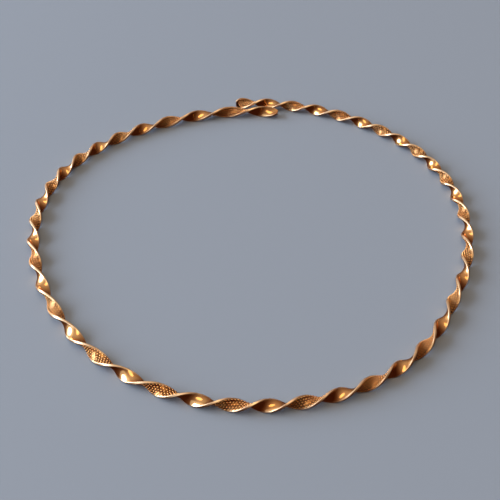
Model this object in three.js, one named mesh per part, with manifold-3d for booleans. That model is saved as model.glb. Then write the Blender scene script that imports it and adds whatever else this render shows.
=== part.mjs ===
// Gold torc: one open neck hoop, a flat gold strip twisted along its whole length and bent round,
// whose ends pass each other at the back.
// Millimetres and degrees, +Z up, lying flat on the plane z = 0 and centred over the origin.
import * as THREE from 'three'
import { mergeVertices } from 'three/addons/utils/BufferGeometryUtils.js'
import Module from 'manifold-3d'

const wasm = await Module()
wasm.setup()

// The strip that the hoop is made from
const stripWidth = 3.9
const stripThickness = 0.8
const stationsPerHalfTurn = 8
const tipLength = 2.2 // the end is rounded over this length
const tipBluntness = 0.4 // width left at the very end, as a share of the strip's width
const tipSteps = 4

// How sharply the hoop's ends spring out of its round
const endSharpness = 8

// The hoop runs clockwise, seen from above, from its tip to its tail.
//   centre, radius      the round that it was bent to
//   start, sweep        where its tip lies, and how far round it goes
//   tipOut, tailOut     how far each end springs out of the round
//   waves               [lobes, amount, at]: how far it is from a true circle
//   bends               [amount, at, spread]: soft dents and elbows
//   height              its middle height over the surface that it lies on
//   halfTurns           how often the strip turns over between its ends
//   turnedAtTip         the strip's roll at the tip, where 0 lies flat with its dotted face up
//   uneven              how the hand-made twist runs ahead or behind, in half turns, one
//                       figure for each half wave along the length
const neckHoop = {
  name: 'neck_hoop',
  centre: [1.3, 6.1],
  radius: 70,
  start: 95.2,
  sweep: 372.9,
  tipOut: 3.5,
  tailOut: -2.4,
  waves: [[2, 0.5, 62], [3, 1, 44], [5, 0.3, 25]],
  bends: [[3.3, 151, 30], [-1.2, -28, 14]],
  height: 1.87,
  halfTurns: 45.6,
  turnedAtTip: 98,
  uneven: [1.33, 0.37, 0.05, -0.18, 0.15, -0.27]
}

const gold = { color: 0xc98242, roughness: 0.28, metalness: 1 }

const radians = THREE.MathUtils.degToRad
const cosDegrees = angle => Math.cos(radians(angle))

// Signed difference of two bearings, from -180 to 180
function bearingGap(a, b) {
  return THREE.MathUtils.euclideanModulo(a - b + 180, 360) - 180
}

// The hoop's middle line, as a curve from 0 at the tip to 1 at the tail
class HoopLine extends THREE.Curve {
  constructor(hoop) {
    super()
    this.hoop = hoop
    this.arcLengthDivisions = 2000
  }

  getPoint(t, target = new THREE.Vector3()) {
    const hoop = this.hoop
    const bearing = hoop.start - hoop.sweep * t
    const nearTip = (1 - t) ** endSharpness
    const nearTail = t ** endSharpness
    let radius = hoop.radius + hoop.tipOut * nearTip + hoop.tailOut * nearTail
    for (const [lobes, amount, at] of hoop.waves) {
      radius += amount * cosDegrees(lobes * (bearing - at))
    }
    for (const [amount, at, spread] of hoop.bends) {
      radius += amount * Math.exp(-((bearingGap(bearing, at) / spread) ** 2))
    }
    const x = hoop.centre[0] + radius * cosDegrees(bearing)
    const y = hoop.centre[1] + radius * Math.sin(radians(bearing))
    return target.set(x, y, hoop.height)
  }
}

// The strip's roll in radians at a share of the hoop's length. The twist is left-handed.
function roll(hoop, share) {
  let turns = hoop.halfTurns * share
  hoop.uneven.forEach((amount, i) => {
    turns += amount * Math.sin((i + 1) * Math.PI * share)
  })
  return radians(hoop.turnedAtTip) - Math.PI * turns
}

// Share of the strip's full width at a distance from the nearer end: a quarter ellipse
function widthShare(fromEnd) {
  const inward = Math.min(1, fromEnd / tipLength)
  const rounded = Math.sqrt(1 - (1 - inward) ** 2)
  return tipBluntness + (1 - tipBluntness) * rounded
}

// Where the strip is cut across: close together round each end, even in between
function stationShares(hoop, length) {
  const tipShare = tipLength / length
  const shares = []
  for (let i = 0; i < tipSteps; i++) {
    shares.push(tipShare * (1 - cosDegrees((90 * i) / tipSteps)))
  }
  const steps = Math.round(hoop.halfTurns * stationsPerHalfTurn)
  for (let i = 0; i <= steps; i++) {
    shares.push(tipShare + (1 - 2 * tipShare) * (i / steps))
  }
  for (let i = tipSteps - 1; i >= 0; i--) {
    shares.push(1 - shares[i])
  }
  return shares
}

// The four corners of the strip's oblong section, at one share of the length
function sectionCorners(hoop, line, share, length) {
  const point = line.getPointAt(share)
  const along = line.getTangentAt(share)
  const out = new THREE.Vector3(0, 0, 1).cross(along).normalize()
  const up = along.clone().cross(out)
  const angle = roll(hoop, share)
  const across = out.clone().multiplyScalar(Math.cos(angle)).addScaledVector(up, Math.sin(angle))
  const through = out.clone().multiplyScalar(-Math.sin(angle)).addScaledVector(up, Math.cos(angle))
  const fromEnd = Math.min(share, 1 - share) * length
  const halfWidth = (stripWidth / 2) * widthShare(fromEnd)
  const halfThickness = stripThickness / 2
  const corners = [[1, 1], [-1, 1], [-1, -1], [1, -1]]
  return corners.map(([side, face]) => point.clone()
    .addScaledVector(across, side * halfWidth)
    .addScaledVector(through, face * halfThickness))
}

// The whole twisted strip as one closed mesh: sections joined by quads, with flat ends
function twistedStrip(hoop) {
  const line = new HoopLine(hoop)
  const length = line.getLength()
  const shares = stationShares(hoop, length)
  const positions = []
  for (const share of shares) {
    for (const corner of sectionCorners(hoop, line, share, length)) {
      positions.push(corner.x, corner.y, corner.z)
    }
  }
  const index = []
  const quad = (a, b, c, d) => index.push(a, b, c, a, c, d)
  for (let i = 0; i < shares.length - 1; i++) {
    for (let j = 0; j < 4; j++) {
      const next = (j + 1) % 4
      const around = [4 * i + j, 4 * i + next, 4 * (i + 1) + next, 4 * (i + 1) + j]
      // The diagonals of a twisted face alternate, so that the facets add no thickness
      if (i % 2) {
        around.push(around.shift())
      }
      quad(...around)
    }
  }
  const last = 4 * (shares.length - 1)
  quad(3, 2, 1, 0)
  quad(last, last + 1, last + 2, last + 3)
  const geometry = new THREE.BufferGeometry()
  geometry.setAttribute('position', new THREE.Float32BufferAttribute(positions, 3))
  geometry.setIndex(index)
  return geometry
}

function toSolid(geometry) {
  const bare = geometry.clone()
  bare.deleteAttribute('normal')
  bare.deleteAttribute('uv')
  const merged = mergeVertices(bare)
  return new wasm.Manifold(new wasm.Mesh({
    numProp: 3,
    vertProperties: new Float32Array(merged.attributes.position.array),
    triVerts: new Uint32Array(merged.index.array)
  }))
}

function toGeometry(solid) {
  const mesh = solid.getMesh()
  const geometry = new THREE.BufferGeometry()
  geometry.setAttribute('position', new THREE.BufferAttribute(mesh.vertProperties, 3))
  geometry.setIndex(new THREE.BufferAttribute(mesh.triVerts, 1))
  geometry.computeVertexNormals()
  return geometry
}

// Everything below z = 0 worn away, which leaves the small flats that the hoop rests on
function flattenUnderneath(geometry) {
  const block = new THREE.BoxGeometry(400, 400, 10)
  block.translate(0, 0, -5)
  return toGeometry(toSolid(geometry).subtract(toSolid(block)))
}

function hoopMesh(hoop) {
  const geometry = flattenUnderneath(twistedStrip(hoop))
  const mesh = new THREE.Mesh(geometry, new THREE.MeshStandardMaterial(gold))
  mesh.name = hoop.name
  return mesh
}

const torc = new THREE.Group()
torc.add(hoopMesh(neckHoop))

// Centre the hoop over the origin
const middle = new THREE.Box3().setFromObject(torc).getCenter(new THREE.Vector3())
for (const mesh of torc.children) {
  mesh.geometry.translate(-middle.x, -middle.y, 0)
}

export default torc
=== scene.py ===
"""The looks of the gold torc: one open neck hoop, lying flat on a pale floor.

It is one flat strip of copper-rich gold, twisted to the left along its whole length and bent round,
whose ends pass each other at the back. One face of the strip is set with staggered rows of raised
dots, and the other is polished plain. The shapes are worked out in millimetres and degrees, and the
mesh is written in metres.
"""
import bpy
import numpy as np
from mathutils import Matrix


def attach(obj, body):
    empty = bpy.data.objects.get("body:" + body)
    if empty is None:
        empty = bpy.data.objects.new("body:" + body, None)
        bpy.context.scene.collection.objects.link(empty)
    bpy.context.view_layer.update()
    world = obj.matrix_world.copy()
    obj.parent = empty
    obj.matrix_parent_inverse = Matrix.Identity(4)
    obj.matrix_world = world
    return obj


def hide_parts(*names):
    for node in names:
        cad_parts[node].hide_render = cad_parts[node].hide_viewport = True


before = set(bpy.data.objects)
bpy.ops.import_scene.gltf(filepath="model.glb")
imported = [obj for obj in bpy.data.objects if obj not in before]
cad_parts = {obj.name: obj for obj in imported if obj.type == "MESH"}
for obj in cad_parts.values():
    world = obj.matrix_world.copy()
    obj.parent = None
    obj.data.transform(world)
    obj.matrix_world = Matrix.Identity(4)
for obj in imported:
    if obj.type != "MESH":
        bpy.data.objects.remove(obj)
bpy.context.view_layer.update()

MM = 0.001

# ---------------------------------------------------------------------------------------------
# The hoop, with the same sizes as the frame's solid
# ---------------------------------------------------------------------------------------------

STRIP_WIDTH = 3.9
STRIP_THICKNESS = 0.8
TIP_LENGTH = 2.2  # an end is rounded over this length
TIP_BLUNTNESS = 0.4  # width left at the very end, as a share of the strip's width
END_SHARPNESS = 8  # how sharply the hoop's ends spring out of its round

# The hoop runs clockwise, seen from above, from its tip to its tail.
#   centre, radius      the round that it was bent to
#   start, sweep        where its tip lies, and how far round it goes
#   tip_out, tail_out   how far each end springs out of the round
#   waves               (lobes, amount, at): how far it is from a true circle
#   bends               (amount, at, spread): soft dents and elbows
#   height              its middle height over the floor
#   half_turns          how often the strip turns over between its ends
#   turned_at_tip       the strip's roll at the tip, where 0 lies flat with its dotted face up
#   uneven              how the hand-made twist runs ahead or behind, in half turns, one figure for
#                       each half wave along the length
NECK_HOOP = dict(
    centre=(1.3, 6.1), radius=70, start=95.2, sweep=372.9, tip_out=3.5, tail_out=-2.4,
    waves=[(2, 0.5, 62), (3, 1, 44), (5, 0.3, 25)],
    bends=[(3.3, 151, 30), (-1.2, -28, 14)],
    height=1.87, half_turns=45.6, turned_at_tip=98, uneven=[1.33, 0.37, 0.05, -0.18, 0.15, -0.27],
)

# The finish of the strip, which the frame's solid leaves out
CORNER_RADIUS = 0.17
CORNER_STEPS = 4
FACE_STEPS = 8  # columns of mesh across each broad face
EDGE_STEPS = 2  # and across each narrow edge
STATION_SPACING = 0.5
DISH_DEPTH = 0.3  # each end's plain face is punched hollow, like a small spoon
DISH_LENGTH = 4.2
CAP_ANGLES = (30, 60, 80)  # the rings that round off each end, by their angle on a quarter circle
CAP_BULGE = 0.9  # how far an end is rounded out, as a share of its first station's distance
UNSHADED_END_RINGS = 6  # rings of mesh at each end that get no painted shade

DOT_RADIUS = 0.29
DOT_HEIGHT = 0.25
DOT_SINK = 0.06  # how deep a dot's rim is sunk in the face
DOT_SIDES = 8
DOT_PITCH = 0.88  # along a row
ROW_OFFSETS = (-1.44, -0.72, 0, 0.72, 1.44)  # across the strip; every other row is staggered


def cos_degrees(angle):
    return np.cos(np.radians(angle))


def unit(vectors):
    return vectors / np.linalg.norm(vectors, axis=-1, keepdims=True)


def line_points(hoop, t):
    """Points of a hoop's middle line, for t from 0 at the tip to 1 at the tail.

    The bearing falls evenly from the start through the sweep. The radius is the hoop's own, plus
    each end's spring times its nearness to the eighth power, plus a cosine of the bearing for each
    wave and a bell curve for each bend. The height is the same all round."""
    bearing = hoop["start"] - hoop["sweep"] * t
    near_tip = (1 - t) ** END_SHARPNESS
    near_tail = t ** END_SHARPNESS
    radius = hoop["radius"] + hoop["tip_out"] * near_tip + hoop["tail_out"] * near_tail
    for lobes, amount, at in hoop["waves"]:
        radius = radius + amount * cos_degrees(lobes * (bearing - at))
    for amount, at, spread in hoop["bends"]:
        gap = (bearing - at + 180) % 360 - 180
        radius = radius + amount * np.exp(-((gap / spread) ** 2))
    x = hoop["centre"][0] + radius * cos_degrees(bearing)
    y = hoop["centre"][1] + radius * np.sin(np.radians(bearing))
    return np.stack([x, y, np.full_like(x, hoop["height"])], axis=-1)


class Strip:
    """A hoop's strip: where it runs, how it is turned, and how wide it is, at any distance from its
    tip along its middle line."""

    LINE_STEPS = 6000

    def __init__(self, hoop):
        self.hoop = hoop
        self.line = line_points(hoop, np.linspace(0, 1, self.LINE_STEPS + 1))
        steps = np.linalg.norm(np.diff(self.line, axis=0), axis=1)
        self.distances = np.concatenate([[0], np.cumsum(steps)])
        self.length = self.distances[-1]
        self.directions = np.gradient(self.line, self.distances, axis=0)

    def read(self, table, distance):
        """A value of each fine step of the line, read off between steps."""
        columns = [np.interp(distance, self.distances, table[:, i]) for i in range(3)]
        return np.stack(columns, axis=-1)

    def roll(self, distance):
        """The strip's roll in radians: it turns over evenly, plus a sine for each uneven part."""
        share = distance / self.length
        turns = self.hoop["half_turns"] * share
        for i, amount in enumerate(self.hoop["uneven"]):
            turns = turns + amount * np.sin((i + 1) * np.pi * share)
        return np.radians(self.hoop["turned_at_tip"]) - np.pi * turns

    def directions_at(self, distance):
        """Unit vectors along the strip, across its width, and out through its dotted face."""
        along = unit(self.read(self.directions, distance))
        out = unit(np.cross([0, 0, 1], along))
        up = np.cross(along, out)
        roll = self.roll(distance)[..., None]
        across = np.cos(roll) * out + np.sin(roll) * up
        through = np.cos(roll) * up - np.sin(roll) * out
        return along, across, through

    def from_end(self, distance):
        return np.minimum(distance, self.length - distance)

    def width_share(self, distance):
        """Share of the full width: a quarter ellipse over each end's rounded length."""
        inward = np.clip(self.from_end(distance) / TIP_LENGTH, 0, 1)
        return TIP_BLUNTNESS + (1 - TIP_BLUNTNESS) * np.sqrt(1 - (1 - inward) ** 2)

    def place(self, distance, side, height):
        """Points at a distance along, side mm off the middle across, height mm through the strip."""
        _, across, through = self.directions_at(distance)
        middle = self.read(self.line, distance)
        return middle + side[..., None] * across + height[..., None] * through


# ---------------------------------------------------------------------------------------------
# The strip and its dots as meshes
# ---------------------------------------------------------------------------------------------


def strip_section():
    """The strip's cross-section, anticlockwise from the middle of one edge: its place across and
    through, and 1 on the dotted face, -1 on the plain face and 0 on the edges.

    It is an oblong whose corners are quarter circles, with even steps on the straight stretches."""
    flat_side = STRIP_WIDTH / 2 - CORNER_RADIUS
    flat_height = STRIP_THICKNESS / 2 - CORNER_RADIUS
    across, through, face = [], [], []

    def add(side, height, which):
        across.append(np.atleast_1d(side))
        through.append(np.atleast_1d(height))
        face.append(np.full(len(across[-1]), which))

    arc = np.radians(np.linspace(0, 90, CORNER_STEPS + 1))
    span = np.linspace(1, -1, FACE_STEPS + 1)[1:-1]
    rim = np.linspace(1, -1, EDGE_STEPS + 1)[1:-1]
    add(flat_side + CORNER_RADIUS * np.cos(arc), flat_height + CORNER_RADIUS * np.sin(arc), 0)
    add(flat_side * span, np.full(len(span), STRIP_THICKNESS / 2), 1)
    add(-flat_side - CORNER_RADIUS * np.sin(arc), flat_height + CORNER_RADIUS * np.cos(arc), 0)
    add(np.full(len(rim), -STRIP_WIDTH / 2), flat_height * rim, 0)
    add(-flat_side - CORNER_RADIUS * np.cos(arc), -flat_height - CORNER_RADIUS * np.sin(arc), 0)
    add(-flat_side * span, np.full(len(span), -STRIP_THICKNESS / 2), -1)
    add(flat_side + CORNER_RADIUS * np.sin(arc), -flat_height - CORNER_RADIUS * np.cos(arc), 0)
    add(np.full(len(rim), STRIP_WIDTH / 2), -flat_height * rim, 0)
    return tuple(np.concatenate(part) for part in (across, through, face))


def strip_stations(strip):
    """Distances at which the strip is cut across: cosine steps over each rounded end, and then
    even steps."""
    end = TIP_LENGTH * (1 - np.cos(np.radians(np.linspace(0, 90, 9))))[1:-1]
    count = round((strip.length - 2 * TIP_LENGTH) / STATION_SPACING)
    middle = np.linspace(TIP_LENGTH, strip.length - TIP_LENGTH, count + 1)
    return np.concatenate([end, middle, (strip.length - end)[::-1]])


def strip_surface(strip):
    """The whole strip as points, faces, and its map and groove values: the section carried along
    the line, drawn in by the width share, with a dish in the plain face near each end and a
    rounded cap that closes it.

    A dish is x times (1 - x) squared along its length, scaled to its depth, times 1 - side squared
    across. A cap is three shrinking copies of the end section, set out by a quarter circle, and a
    pole."""
    across, through, face = strip_section()
    stations = strip_stations(strip)
    share = strip.width_share(stations)[:, None]
    x = np.clip(strip.from_end(stations) / DISH_LENGTH, 0, 1)[:, None]
    dish = DISH_DEPTH * 6.75 * x * (1 - x) ** 2 * (1 - (across / across.max()) ** 2)
    height = through + np.where(face < 0, dish, 0)
    columns = len(across)
    distance = np.repeat(stations[:, None], columns, axis=1)
    points = strip.place(distance, share * across, height)

    cap_angles = np.radians(CAP_ANGLES)
    caps = []
    for end, towards in ((0, -1), (-1, 1)):
        middle = strip.read(strip.line, stations[end])
        along = strip.directions_at(stations[end])[0]
        bulge = stations[0] * CAP_BULGE
        rings = [middle + np.cos(a) * (points[end] - middle) + towards * bulge * np.sin(a) * along
                 for a in cap_angles]
        caps.append((np.array(rings), middle + towards * bulge * along))
    (tip_rings, tip_pole), (tail_rings, tail_pole) = caps
    rings = np.concatenate([tip_rings[::-1], points, tail_rings])
    cap_distance = np.repeat(stations[[0, -1]], len(cap_angles))[:, None] * np.ones(columns)
    tip_distance, tail_distance = np.split(cap_distance, 2)
    distance = np.concatenate([tip_distance, distance, tail_distance])
    # the whole dotted face is marked for painted shade, the brown laid between the dots; the rings
    # at each end are left without it
    groove = np.repeat((face > 0).astype(float)[None], len(rings), axis=0)
    groove[:UNSHADED_END_RINGS] = 0
    groove[-UNSHADED_END_RINGS:] = 0
    edge = np.repeat((face == 0).astype(float)[None], len(rings), axis=0)

    rows = len(rings)
    grid = np.arange(rows * columns).reshape(rows, columns)
    beside = np.roll(grid, -1, axis=1)
    quads = np.stack([grid[:-1], beside[:-1], beside[1:], grid[1:]], axis=-1).reshape(-1, 4)
    tip, tail = rows * columns, rows * columns + 1
    tip_fan = np.stack([np.full(columns, tip), beside[0], grid[0]], axis=-1)
    tail_fan = np.stack([np.full(columns, tail), grid[-1], beside[-1]], axis=-1)

    round_section = np.concatenate([[0], np.cumsum(np.hypot(np.diff(across), np.diff(through)))])
    around = np.broadcast_to(round_section, (rows, columns))
    all_points = np.concatenate([rings.reshape(-1, 3), tip_pole[None], tail_pole[None]])
    mapped = np.stack([distance, around], axis=-1).reshape(-1, 2)
    mapped = np.concatenate([mapped, [[0, 0], [strip.length, 0]]])
    marks = {"groove": np.concatenate([groove.ravel(), [0, 0]]),
             "edge": np.concatenate([edge.ravel(), [1, 1]])}
    return all_points, [quads, tip_fan, tail_fan], mapped, marks


def dot_places(strip):
    """Distance along and offset across of each dot: rows at even offsets, each with its dots one
    pitch apart, and every other row half a pitch on. A dot that would overhang is left out."""
    count = int(strip.length / DOT_PITCH)
    steps = np.arange(count) + 0.25
    rows = range(len(ROW_OFFSETS))
    distance = [DOT_PITCH * (steps + 0.5 * (row % 2)) for row in rows]
    side = [np.full(count, offset) for offset in ROW_OFFSETS]
    distance, side = np.concatenate(distance), np.concatenate(side)
    room = STRIP_WIDTH / 2 * strip.width_share(distance) - CORNER_RADIUS
    fits = (np.abs(side) + DOT_RADIUS < room + 0.1) & (strip.from_end(distance) > 0.9)
    return distance[fits], side[fits]


def dot_surface(strip):
    """Every dot as points, faces, and its map and groove values: a round dome of three rings and
    a crown, square to the twisted face where it sits, with its flat underside sunk in the strip."""
    distance, side = dot_places(strip)
    top = np.full(len(distance), STRIP_THICKNESS / 2)
    _, across, _ = strip.directions_at(distance)
    ahead = strip.place(distance + 0.05, side, top)
    behind = strip.place(distance - 0.05, side, top)
    along = unit(ahead - behind)
    out = unit(np.cross(along, across))
    centre = strip.place(distance, side, top)

    turn = 2 * np.pi * np.arange(DOT_SIDES) / DOT_SIDES
    spoke = np.cos(turn)[:, None] * along[:, None] + np.sin(turn)[:, None] * across[:, None]
    # each ring's third figure is painted shade: full at the sunk rim, where the dot meets the face,
    # and none higher up
    rings = [(1.0, -DOT_SINK, 1), (0.94, 0.4 * DOT_HEIGHT, 0), (0.6, 0.85 * DOT_HEIGHT, 0)]
    parts, groove = [], []
    for reach, rise, painted_shade in rings:
        parts.append(centre[:, None] + DOT_RADIUS * reach * spoke + rise * out[:, None])
        groove.append(np.full((len(centre), DOT_SIDES), painted_shade))
    parts.append((centre + DOT_HEIGHT * out)[:, None])
    groove.append(np.zeros((len(centre), 1)))
    points = np.concatenate(parts, axis=1)
    groove = np.concatenate(groove, axis=1)

    size = points.shape[1]
    ring = np.arange(DOT_SIDES)
    after = np.roll(ring, -1)
    wall = np.stack([ring, after, after + DOT_SIDES, ring + DOT_SIDES], axis=-1)
    last = size - 1 - DOT_SIDES
    crown = np.stack([ring + last, after + last, np.full(DOT_SIDES, size - 1)], axis=-1)
    under = ring[::-1][None]
    first = size * np.arange(len(centre))[:, None, None]
    faces = (wall, wall + DOT_SIDES, crown, under)
    groups = [(first + part).reshape(-1, part.shape[1]) for part in faces]
    mapped = np.repeat(np.stack([distance, side], axis=-1)[:, None], size, axis=1)
    marks = {"groove": groove.ravel(), "edge": np.zeros(groove.size)}
    return points.reshape(-1, 3), groups, mapped.reshape(-1, 2), marks


def write_mesh(name, points, groups, mapped, marks):
    """One smooth mesh object from millimetre points and groups of faces with equal sides."""
    mesh = bpy.data.meshes.new(name)
    corners = np.concatenate([group.ravel() for group in groups]).astype(np.int32)
    sides = np.concatenate([np.full(len(group), group.shape[1]) for group in groups])
    mesh.vertices.add(len(points))
    mesh.vertices.foreach_set("co", (points * MM).astype(np.float32).ravel())
    mesh.loops.add(len(corners))
    mesh.loops.foreach_set("vertex_index", corners)
    mesh.polygons.add(len(sides))
    mesh.polygons.foreach_set("loop_start", (np.cumsum(sides) - sides).astype(np.int32))
    mesh.polygons.foreach_set("use_smooth", np.ones(len(sides), dtype=bool))
    mesh.uv_layers.new(name="strip_map")
    mesh.uv_layers["strip_map"].data.foreach_set("uv", mapped[corners].astype(np.float32).ravel())
    for mark, values in marks.items():
        attribute = mesh.attributes.new(mark, "FLOAT", "POINT")
        attribute.data.foreach_set("value", values.astype(np.float32))
    mesh.update()
    mesh.validate()
    piece = bpy.data.objects.new(name, mesh)
    bpy.context.scene.collection.objects.link(piece)
    return piece


def hoop_surface(hoop):
    """The strip and its dots as one set of points and faces, worn flat where it meets the floor."""
    strip = Strip(hoop)
    points, groups, mapped, marks = strip_surface(strip)
    dots, dot_groups, dot_mapped, dot_marks = dot_surface(strip)
    groups = groups + [group + len(points) for group in dot_groups]
    points = np.concatenate([points, dots])
    points[:, 2] = np.maximum(points[:, 2], 0)
    marks = {mark: np.concatenate([marks[mark], dot_marks[mark]]) for mark in marks}
    return points, groups, np.concatenate([mapped, dot_mapped]), marks


# ---------------------------------------------------------------------------------------------
# The gold and the floor as materials
# ---------------------------------------------------------------------------------------------


def node(tree, kind, inputs=None, **settings):
    """A new node with its settings, whose inputs take either a value or another node's output."""
    made = tree.nodes.new(kind)
    for key, value in settings.items():
        setattr(made, key, value)
    for key, value in (inputs or {}).items():
        if isinstance(value, bpy.types.NodeSocket):
            tree.links.new(value, made.inputs[key])
        else:
            made.inputs[key].default_value = value
    return made


def noise(tree, vector, scale, detail=2, roughness=0.5):
    inputs = {"Vector": vector, "Scale": scale, "Detail": detail, "Roughness": roughness}
    return node(tree, "ShaderNodeTexNoise", inputs).outputs["Fac"]


def between(tree, value, low, high, to_low, to_high):
    """The value carried from one range to another, smoothly and no further than its ends."""
    inputs = {"Value": value, "From Min": low, "From Max": high, "To Min": to_low, "To Max": to_high}
    made = node(tree, "ShaderNodeMapRange", inputs, interpolation_type="SMOOTHSTEP")
    return made.outputs["Result"]


COLOR_RESULT = 2  # the mix node's third output is its colour


def mixed_color(tree, share, first, second):
    """The second colour laid over the first by a share."""
    made = node(tree, "ShaderNodeMix", data_type="RGBA")
    for key, value in (("Factor_Float", share), ("A_Color", first), ("B_Color", second)):
        socket = next(found for found in made.inputs if found.identifier == key)
        if isinstance(value, bpy.types.NodeSocket):
            tree.links.new(value, socket)
        else:
            socket.default_value = value
    return made.outputs[COLOR_RESULT]


def math(tree, operation, first, second):
    return node(tree, "ShaderNodeMath", {0: first, 1: second}, operation=operation).outputs[0]


FLOOR_COLOR = (0.273, 0.285, 0.31, 1)
BRIGHT_GOLD = (0.93, 0.48, 0.18, 1)
RED_GOLD = (0.8, 0.33, 0.1, 1)
# painted shade: the dark brown laid between and around the dots
PAINTED_GROOVE_SHADE = (0.08, 0.022, 0.008, 1)
# painted sheen: the pale gold laid on the narrow edges
PAINTED_EDGE_SHEEN = (1, 0.72, 0.45, 1)


def worn_gold_with_painted_light(name):
    """Copper-rich gold, polished by wear: redder in soft patches, brown with painted shade on the
    dotted face between and around the dots, pale with a painted sheen and duller on the narrow
    edges, and finely dented and scratched."""
    material = bpy.data.materials.new(name)
    material.use_nodes = True
    tree = material.node_tree
    shader = tree.nodes["Principled BSDF"]
    shader.inputs["Metallic"].default_value = 1

    here = node(tree, "ShaderNodeTexCoord").outputs["Object"]
    strip_map = node(tree, "ShaderNodeUVMap", uv_map="strip_map").outputs["UV"]
    groove = node(tree, "ShaderNodeAttribute", attribute_name="groove").outputs["Fac"]
    edge = node(tree, "ShaderNodeAttribute", attribute_name="edge").outputs["Fac"]

    patches = between(tree, noise(tree, here, 190, 3), 0.42, 0.62, 0, 0.75)
    metal = mixed_color(tree, patches, BRIGHT_GOLD, RED_GOLD)
    # painted sheen: the narrow edges are mixed part way towards pale gold
    metal = mixed_color(tree, math(tree, "MULTIPLY", edge, 0.6), metal, PAINTED_EDGE_SHEEN)
    # painted shade: the dotted face's ground and each dot's foot are mixed towards dark brown, by a
    # depth that varies in noisy patches
    shade_depth = between(tree, noise(tree, here, 420, 2), 0.3, 0.6, 0.5, 0.8)
    painted_shade = math(tree, "MULTIPLY", groove, shade_depth)
    tree.links.new(mixed_color(tree, painted_shade, metal, PAINTED_GROOVE_SHADE), shader.inputs["Base Color"])

    drawn = node(tree, "ShaderNodeMapping", {"Vector": strip_map, "Scale": (0.25, 5, 1)}).outputs[0]
    lines = noise(tree, drawn, 1, 4, 0.6)
    smears = between(tree, noise(tree, here, 700, 3), 0.35, 0.7, 0.12, 0.22)
    dull = math(tree, "MULTIPLY", edge, 0.22)
    dusty = math(tree, "MULTIPLY", groove, 0.02)
    roughness = math(tree, "ADD", math(tree, "ADD", smears, dull), dusty)
    tree.links.new(roughness, shader.inputs["Roughness"])

    dents = noise(tree, here, 330, 1)
    grain = noise(tree, here, 2600, 2)
    bump = node(tree, "ShaderNodeBump", {"Height": dents, "Strength": 1, "Distance": 0.00005})
    bump = node(tree, "ShaderNodeBump", {
        "Height": lines, "Strength": 1, "Distance": 0.000004, "Normal": bump.outputs["Normal"]})
    bump = node(tree, "ShaderNodeBump", {
        "Height": grain, "Strength": 1, "Distance": 0.000003, "Normal": bump.outputs["Normal"]})
    tree.links.new(bump.outputs["Normal"], shader.inputs["Normal"])
    return material


def floor_material():
    material = bpy.data.materials.new("pale_floor")
    material.use_nodes = True
    shader = material.node_tree.nodes["Principled BSDF"]
    shader.inputs["Base Color"].default_value = FLOOR_COLOR
    shader.inputs["Roughness"].default_value = 0.9
    return material


# ---------------------------------------------------------------------------------------------
# The hoop, placed as the frame is
# ---------------------------------------------------------------------------------------------

points, groups, mapped, marks = hoop_surface(NECK_HOOP)
middle = (points.min(axis=0) + points.max(axis=0)) / 2 * [1, 1, 0]
piece = write_mesh("twisted_strip", points - middle, groups, mapped, marks)
piece.data.materials.append(worn_gold_with_painted_light("hoop_gold"))
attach(piece, "root")
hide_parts("neck_hoop")

# ---------------------------------------------------------------------------------------------
# Floor, lights and camera
# ---------------------------------------------------------------------------------------------

bpy.ops.mesh.primitive_plane_add(size=14)
floor = bpy.context.object
floor.name = "floor"
floor.visible_glossy = False
floor.data.materials.append(floor_material())

CAMERA_ELEVATION = 43
CAMERA_DISTANCE = 330
camera_data = bpy.data.cameras.new("camera")
camera_data.lens = 73.87
camera_data.sensor_width = 36
camera = bpy.data.objects.new("camera", camera_data)
bpy.context.scene.collection.objects.link(camera)
tilt = np.radians(CAMERA_ELEVATION)
camera.location = (
    -middle[0] * MM,
    (-middle[1] - CAMERA_DISTANCE * np.cos(tilt)) * MM,
    CAMERA_DISTANCE * np.sin(tilt) * MM,
)
camera.rotation_euler = (np.pi / 2 - tilt, 0, 0)
bpy.context.scene.camera = camera
bpy.context.scene.view_settings.view_transform = "Standard"


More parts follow.
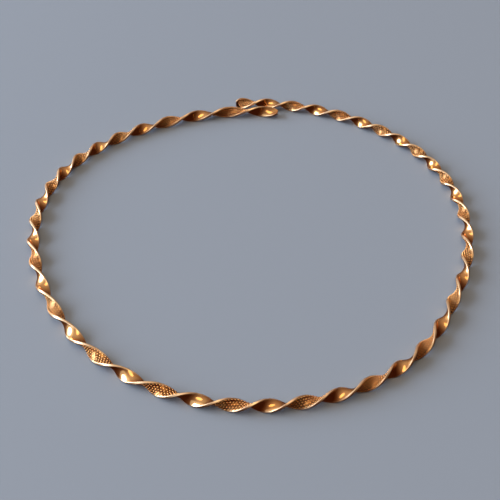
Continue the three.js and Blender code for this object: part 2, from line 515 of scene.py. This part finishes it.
def studio_world():
    """A dim warm room that is lighter above and towards the back left, and dark brown below.

    The brightness follows how far a direction points towards the lighter side."""
    world = bpy.data.worlds.new("studio")
    world.use_nodes = True
    tree = world.node_tree
    direction = node(tree, "ShaderNodeTexCoord").outputs["Generated"]
    towards = node(tree, "ShaderNodeVectorMath", {0: direction, 1: (-0.45, 0.35, 0.82)},
                   operation="DOT_PRODUCT").outputs["Value"]
    share = node(tree, "ShaderNodeMath", {0: towards, 1: 0.5, 2: 0.5}, operation="MULTIPLY_ADD")
    ramp = node(tree, "ShaderNodeValToRGB", {"Fac": share.outputs[0]})
    ramp.color_ramp.elements[0].position = 0.25
    ramp.color_ramp.elements[0].color = (0.04, 0.014, 0.008, 1)
    ramp.color_ramp.elements[1].position = 1
    ramp.color_ramp.elements[1].color = (0.6, 0.58, 0.58, 1)
    ramp.color_ramp.elements.new(0.5).color = (0.12, 0.07, 0.055, 1)
    ramp.color_ramp.elements.new(0.75).color = (0.3, 0.25, 0.23, 1)
    tree.links.new(ramp.outputs["Color"], tree.nodes["Background"].inputs["Color"])
    bpy.context.scene.world = world


DAYLIGHT = (0.62, 0.78, 1)
LAMPLIGHT = (1, 0.86, 0.55)


def softbox(name, bearing, elevation, spread, brightness, color, distance=3):
    """A soft light seen from the torc at a bearing, clockwise from the back, and an elevation.

    Its spread is the two angles that it fills, and brightness is its radiance, so the power is
    that times pi times its area."""
    width, height = (2 * distance * np.tan(np.radians(angle / 2)) for angle in spread)
    light = bpy.data.lights.new(name, "AREA")
    light.shape = "ELLIPSE"
    light.size, light.size_y = width, height
    light.energy = brightness * np.pi * (np.pi / 4 * width * height)
    light.color = color
    lamp = bpy.data.objects.new(name, light)
    bpy.context.scene.collection.objects.link(lamp)
    level = distance * cos_degrees(elevation)
    lamp.location = (
        level * np.sin(np.radians(bearing)),
        level * cos_degrees(bearing),
        distance * np.sin(np.radians(elevation)),
    )
    lamp.rotation_euler = (np.radians(90 - elevation), 0, np.radians(180 - bearing))
    lamp.visible_camera = False


studio_world()
softbox("window_light", -85, 22, (56, 38), 11, DAYLIGHT)
softbox("window_glow", -88, 22, (112, 70), 0.6, DAYLIGHT)
softbox("ceiling_light", 180, 82, (22, 66), 1.9, LAMPLIGHT)
